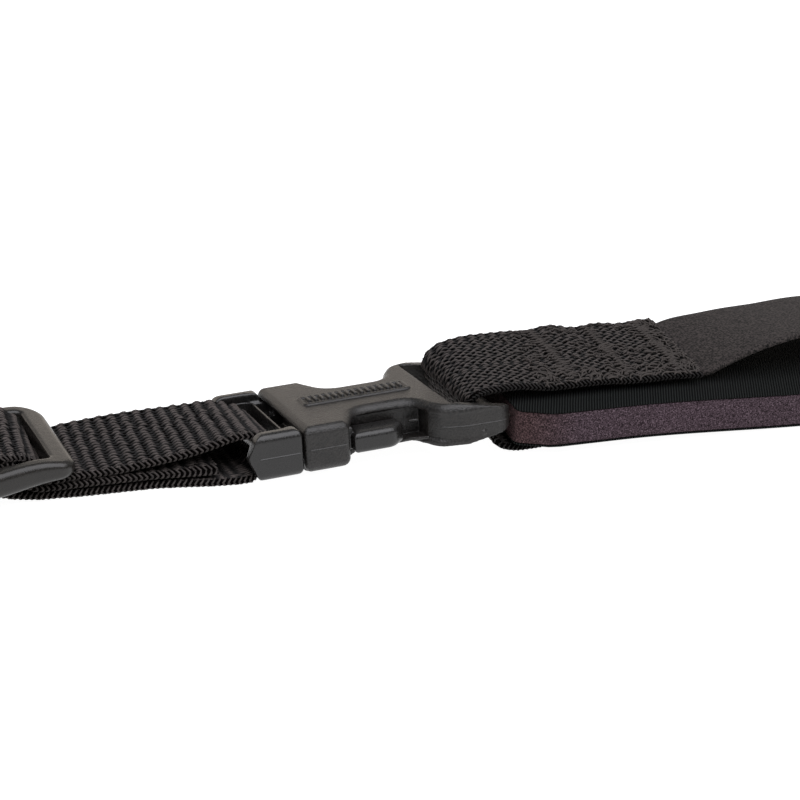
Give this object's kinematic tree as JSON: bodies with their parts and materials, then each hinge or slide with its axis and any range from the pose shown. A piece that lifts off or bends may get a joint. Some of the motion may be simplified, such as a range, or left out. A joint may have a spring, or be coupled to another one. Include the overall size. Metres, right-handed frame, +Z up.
{
  "type": "camera neck strap",
  "caption": "Camera neck strap: tapered foam neck pad with a control band, clipped side-release buckles, sliders and adjustable webbing ending in sewn eyes.",
  "frame": {"origin": "middle of the strap's footprint, on the surface that the pad rests on", "axes": "+X along the strap, +Y to its back edge, +Z up, out of the pad's upper face"},
  "size_m": [0.9544, 0.068, 0.0186],
  "materials": {
    "foam": "cut edge of closed-cell foam rubber, purple-grey, fine pores",
    "top_jersey": "black finely ribbed knit",
    "bottom_jersey": "black finely ribbed knit",
    "control_band": "dark warm grey, smooth even weave",
    "pad_webbing": "black-brown coarse webbing, bar-tacked",
    "strap_webbing": "black-brown coarse ribbed webbing",
    "socket_plastic": "moulded, finely grained",
    "plug_plastic": "moulded, finely grained",
    "slider_plastic": "moulded, satin"
  },
  "bodies": {
    "root": {"pad_foam_core": "foam", "pad_jersey_top": "top_jersey", "pad_jersey_bottom": "bottom_jersey", "stretch_control_band": "control_band", "pad_end_webbing_left": "pad_webbing", "pad_end_webbing_right": "pad_webbing", "buckle_socket_left": "socket_plastic", "buckle_socket_right": "socket_plastic", "buckle_plug_left": "plug_plastic", "buckle_plug_right": "plug_plastic", "strap_webbing_left": "strap_webbing", "strap_webbing_right": "strap_webbing", "slider_left": "slider_plastic", "slider_right": "slider_plastic"}
  },
  "joints": []
}
